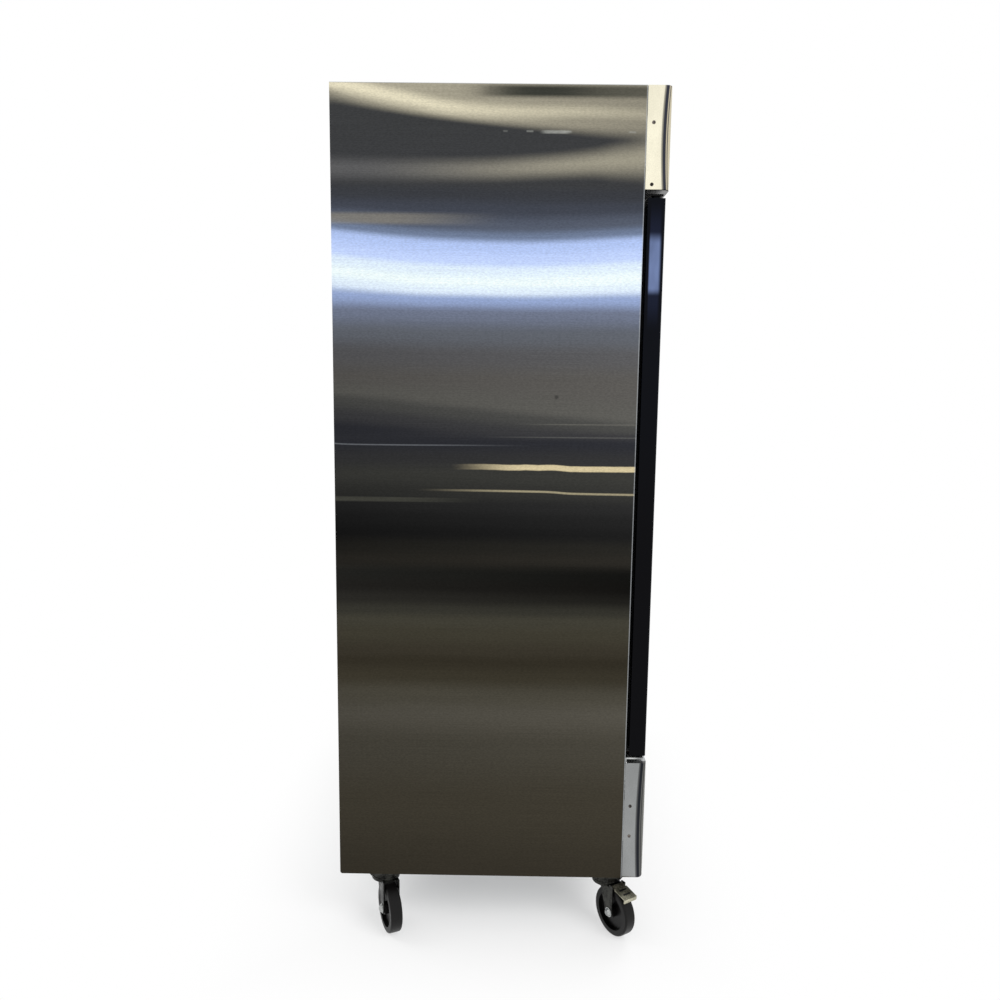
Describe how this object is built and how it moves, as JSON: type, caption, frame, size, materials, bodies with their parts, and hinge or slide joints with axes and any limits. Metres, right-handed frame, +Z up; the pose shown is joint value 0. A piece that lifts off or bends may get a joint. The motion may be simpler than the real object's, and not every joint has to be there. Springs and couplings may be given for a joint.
{
  "type": "reach in refrigerator",
  "caption": "Upright two-section reach-in refrigerator with black-framed glass doors, stainless cabinet, lower grille, wire shelves and swivel casters.",
  "frame": {"origin": "on the floor, under the middle of the whole refrigerator", "axes": "+Z up, -Y towards the front of the doors, -X the hinge side of the left door"},
  "size_m": [1.489, 0.793, 2.12],
  "materials": {
    "stainless": "brushed",
    "trim_stainless": "brushed",
    "galvanised": "galvanised",
    "liner": "white enamel",
    "foam": "matt",
    "black_trim": "matt",
    "white_paint": "gloss",
    "zinc": "zinc plated",
    "black_frame": "black anodised",
    "glass": "clear",
    "spacer": "satin",
    "gasket": "matt",
    "shelf_wire": "coated",
    "standards": "zinc plated",
    "light": "diffuse",
    "fins": "satin",
    "fan_plastic": "matt",
    "black_paint": "gloss",
    "copper": "drawn",
    "drip_plastic": "matt",
    "tyre": "matt"
  },
  "bodies": {
    "cabinet": {"left_side_panel": "stainless", "right_side_panel": "stainless", "top_panel": "stainless", "header_panel": "trim_stainless", "lower_grille": "trim_stainless", "back_panel": "galvanised", "rear_grille": "galvanised", "insulation": "foam", "inner_liner": "liner", "header_beam": "foam", "front_face_trim": "black_trim", "center_mullion": "black_frame", "base_frame": "galvanised", "trim_brackets": "galvanised", "trim_screws": "zinc", "hinge_brackets": "zinc", "shelf_standards": "standards", "shelf_clips": "standards", "led_light_bars": "light", "evaporator_coil": "fins", "evaporator_cover": "white_paint", "evaporator_fan_motors": "black_paint", "unit_tray": "galvanised", "condenser_coil": "fins", "fan_shroud": "galvanised", "condenser_fan_motor": "black_paint", "compressor": "black_paint", "refrigerant_lines": "copper", "condensate_pan": "drip_plastic", "electrical_box": "drip_plastic", "control_panel": "black_trim", "left_shelves": "shelf_wire", "right_shelves": "shelf_wire", "caster_mounts": "zinc"},
    "left_door": {"left_door_frame": "black_frame", "left_handle_stile": "black_frame", "left_glass_panes": "glass", "left_glass_spacer": "spacer", "left_door_gasket": "gasket"},
    "left_evap_fan": {"left_evaporator_fan": "fan_plastic"},
    "front_left_caster": {"front_left_fork": "zinc"},
    "front_left_caster_wheel": {"front_left_wheel": "tyre"},
    "rear_left_caster": {"rear_left_fork": "zinc"},
    "rear_left_caster_wheel": {"rear_left_wheel": "tyre"},
    "front_left_brake": {"front_left_brake_pedal": "zinc"},
    "right_door": {"right_door_frame": "black_frame", "right_handle_stile": "black_frame", "right_glass_panes": "glass", "right_glass_spacer": "spacer", "right_door_gasket": "gasket"},
    "right_evap_fan": {"right_evaporator_fan": "fan_plastic"},
    "front_right_caster": {"front_right_fork": "zinc"},
    "front_right_caster_wheel": {"front_right_wheel": "tyre"},
    "rear_right_caster": {"rear_right_fork": "zinc"},
    "rear_right_caster_wheel": {"rear_right_wheel": "tyre"},
    "front_right_brake": {"front_right_brake_pedal": "zinc"},
    "condenser_fan": {"condenser_fan": "fan_plastic"},
    "button_up": {"button_up": "fan_plastic"},
    "button_down": {"button_down": "fan_plastic"},
    "light_rocker": {"light_rocker": "fan_plastic"}
  },
  "joints": [
    {"name": "left_door_hinge", "type": "hinge", "parent": "cabinet", "child": "left_door", "pos_m": [-0.672, -0.3685, 1.1825], "axis": [0, 0, -1], "range_deg": [0, 120], "stiffness_Nm_per_rad": 1.2, "springref_deg": -20.05},
    {"name": "left_evap_fan_spin", "type": "hinge", "parent": "cabinet", "child": "left_evap_fan", "pos_m": [-0.25, 0.0845, 1.9699], "axis": [0, 1, 0], "continuous": true},
    {"name": "front_left_caster_swivel", "type": "hinge", "parent": "cabinet", "child": "front_left_caster", "pos_m": [-0.645, -0.304, 0.14], "axis": [0, 0, 1], "continuous": true},
    {"name": "front_left_caster_wheel_spin", "type": "hinge", "parent": "front_left_caster", "child": "front_left_caster_wheel", "pos_m": [-0.67855, -0.32579, 0.0635], "axis": [0.5446, -0.8387, 0], "continuous": true},
    {"name": "rear_left_caster_swivel", "type": "hinge", "parent": "cabinet", "child": "rear_left_caster", "pos_m": [-0.645, 0.2835, 0.14], "axis": [0, 0, 1], "continuous": true},
    {"name": "rear_left_caster_wheel_spin", "type": "hinge", "parent": "rear_left_caster", "child": "rear_left_caster_wheel", "pos_m": [-0.68154, 0.26723, 0.0635], "axis": [0.4067, -0.9135, 0], "continuous": true},
    {"name": "front_left_brake_press", "type": "hinge", "parent": "front_left_caster", "child": "front_left_brake", "pos_m": [-0.68358, -0.32905, 0.133], "axis": [0.5446, -0.8387, 0], "range_deg": [0, 10]},
    {"name": "right_door_hinge", "type": "hinge", "parent": "cabinet", "child": "right_door", "pos_m": [0.672, -0.3685, 1.1825], "axis": [0, 0, 1], "range_deg": [0, 120], "stiffness_Nm_per_rad": 1.2, "springref_deg": -20.05},
    {"name": "right_evap_fan_spin", "type": "hinge", "parent": "cabinet", "child": "right_evap_fan", "pos_m": [0.25, 0.0845, 1.9699], "axis": [0, 1, 0], "continuous": true},
    {"name": "front_right_caster_swivel", "type": "hinge", "parent": "cabinet", "child": "front_right_caster", "pos_m": [0.645, -0.304, 0.14], "axis": [0, 0, 1], "continuous": true},
    {"name": "front_right_caster_wheel_spin", "type": "hinge", "parent": "front_right_caster", "child": "front_right_caster_wheel", "pos_m": [0.67855, -0.32579, 0.0635], "axis": [-0.5446, -0.8387, 0], "continuous": true},
    {"name": "rear_right_caster_swivel", "type": "hinge", "parent": "cabinet", "child": "rear_right_caster", "pos_m": [0.645, 0.2835, 0.14], "axis": [0, 0, 1], "continuous": true},
    {"name": "rear_right_caster_wheel_spin", "type": "hinge", "parent": "rear_right_caster", "child": "rear_right_caster_wheel", "pos_m": [0.68154, 0.26723, 0.0635], "axis": [-0.4067, -0.9135, 0], "continuous": true},
    {"name": "front_right_brake_press", "type": "hinge", "parent": "front_right_caster", "child": "front_right_brake", "pos_m": [0.68358, -0.32905, 0.133], "axis": [0.5446, 0.8387, 0], "range_deg": [0, 10]},
    {"name": "condenser_fan_spin", "type": "hinge", "parent": "cabinet", "child": "condenser_fan", "pos_m": [-0.36, -0.2035, 0.3309], "axis": [0, 1, 0], "continuous": true},
    {"name": "button_up_press", "type": "slide", "parent": "cabinet", "child": "button_up", "axis": [0, 1, 0], "range_m": [0, 0.0008], "stiffness_N_per_m": 600},
    {"name": "button_down_press", "type": "slide", "parent": "cabinet", "child": "button_down", "axis": [0, 1, 0], "range_m": [0, 0.0008], "stiffness_N_per_m": 600},
    {"name": "light_rocker_tip", "type": "hinge", "parent": "cabinet", "child": "light_rocker", "pos_m": [0.546, -0.3885, 0.444], "axis": [1, 0, 0], "range_deg": [-10, 10]}
  ]
}
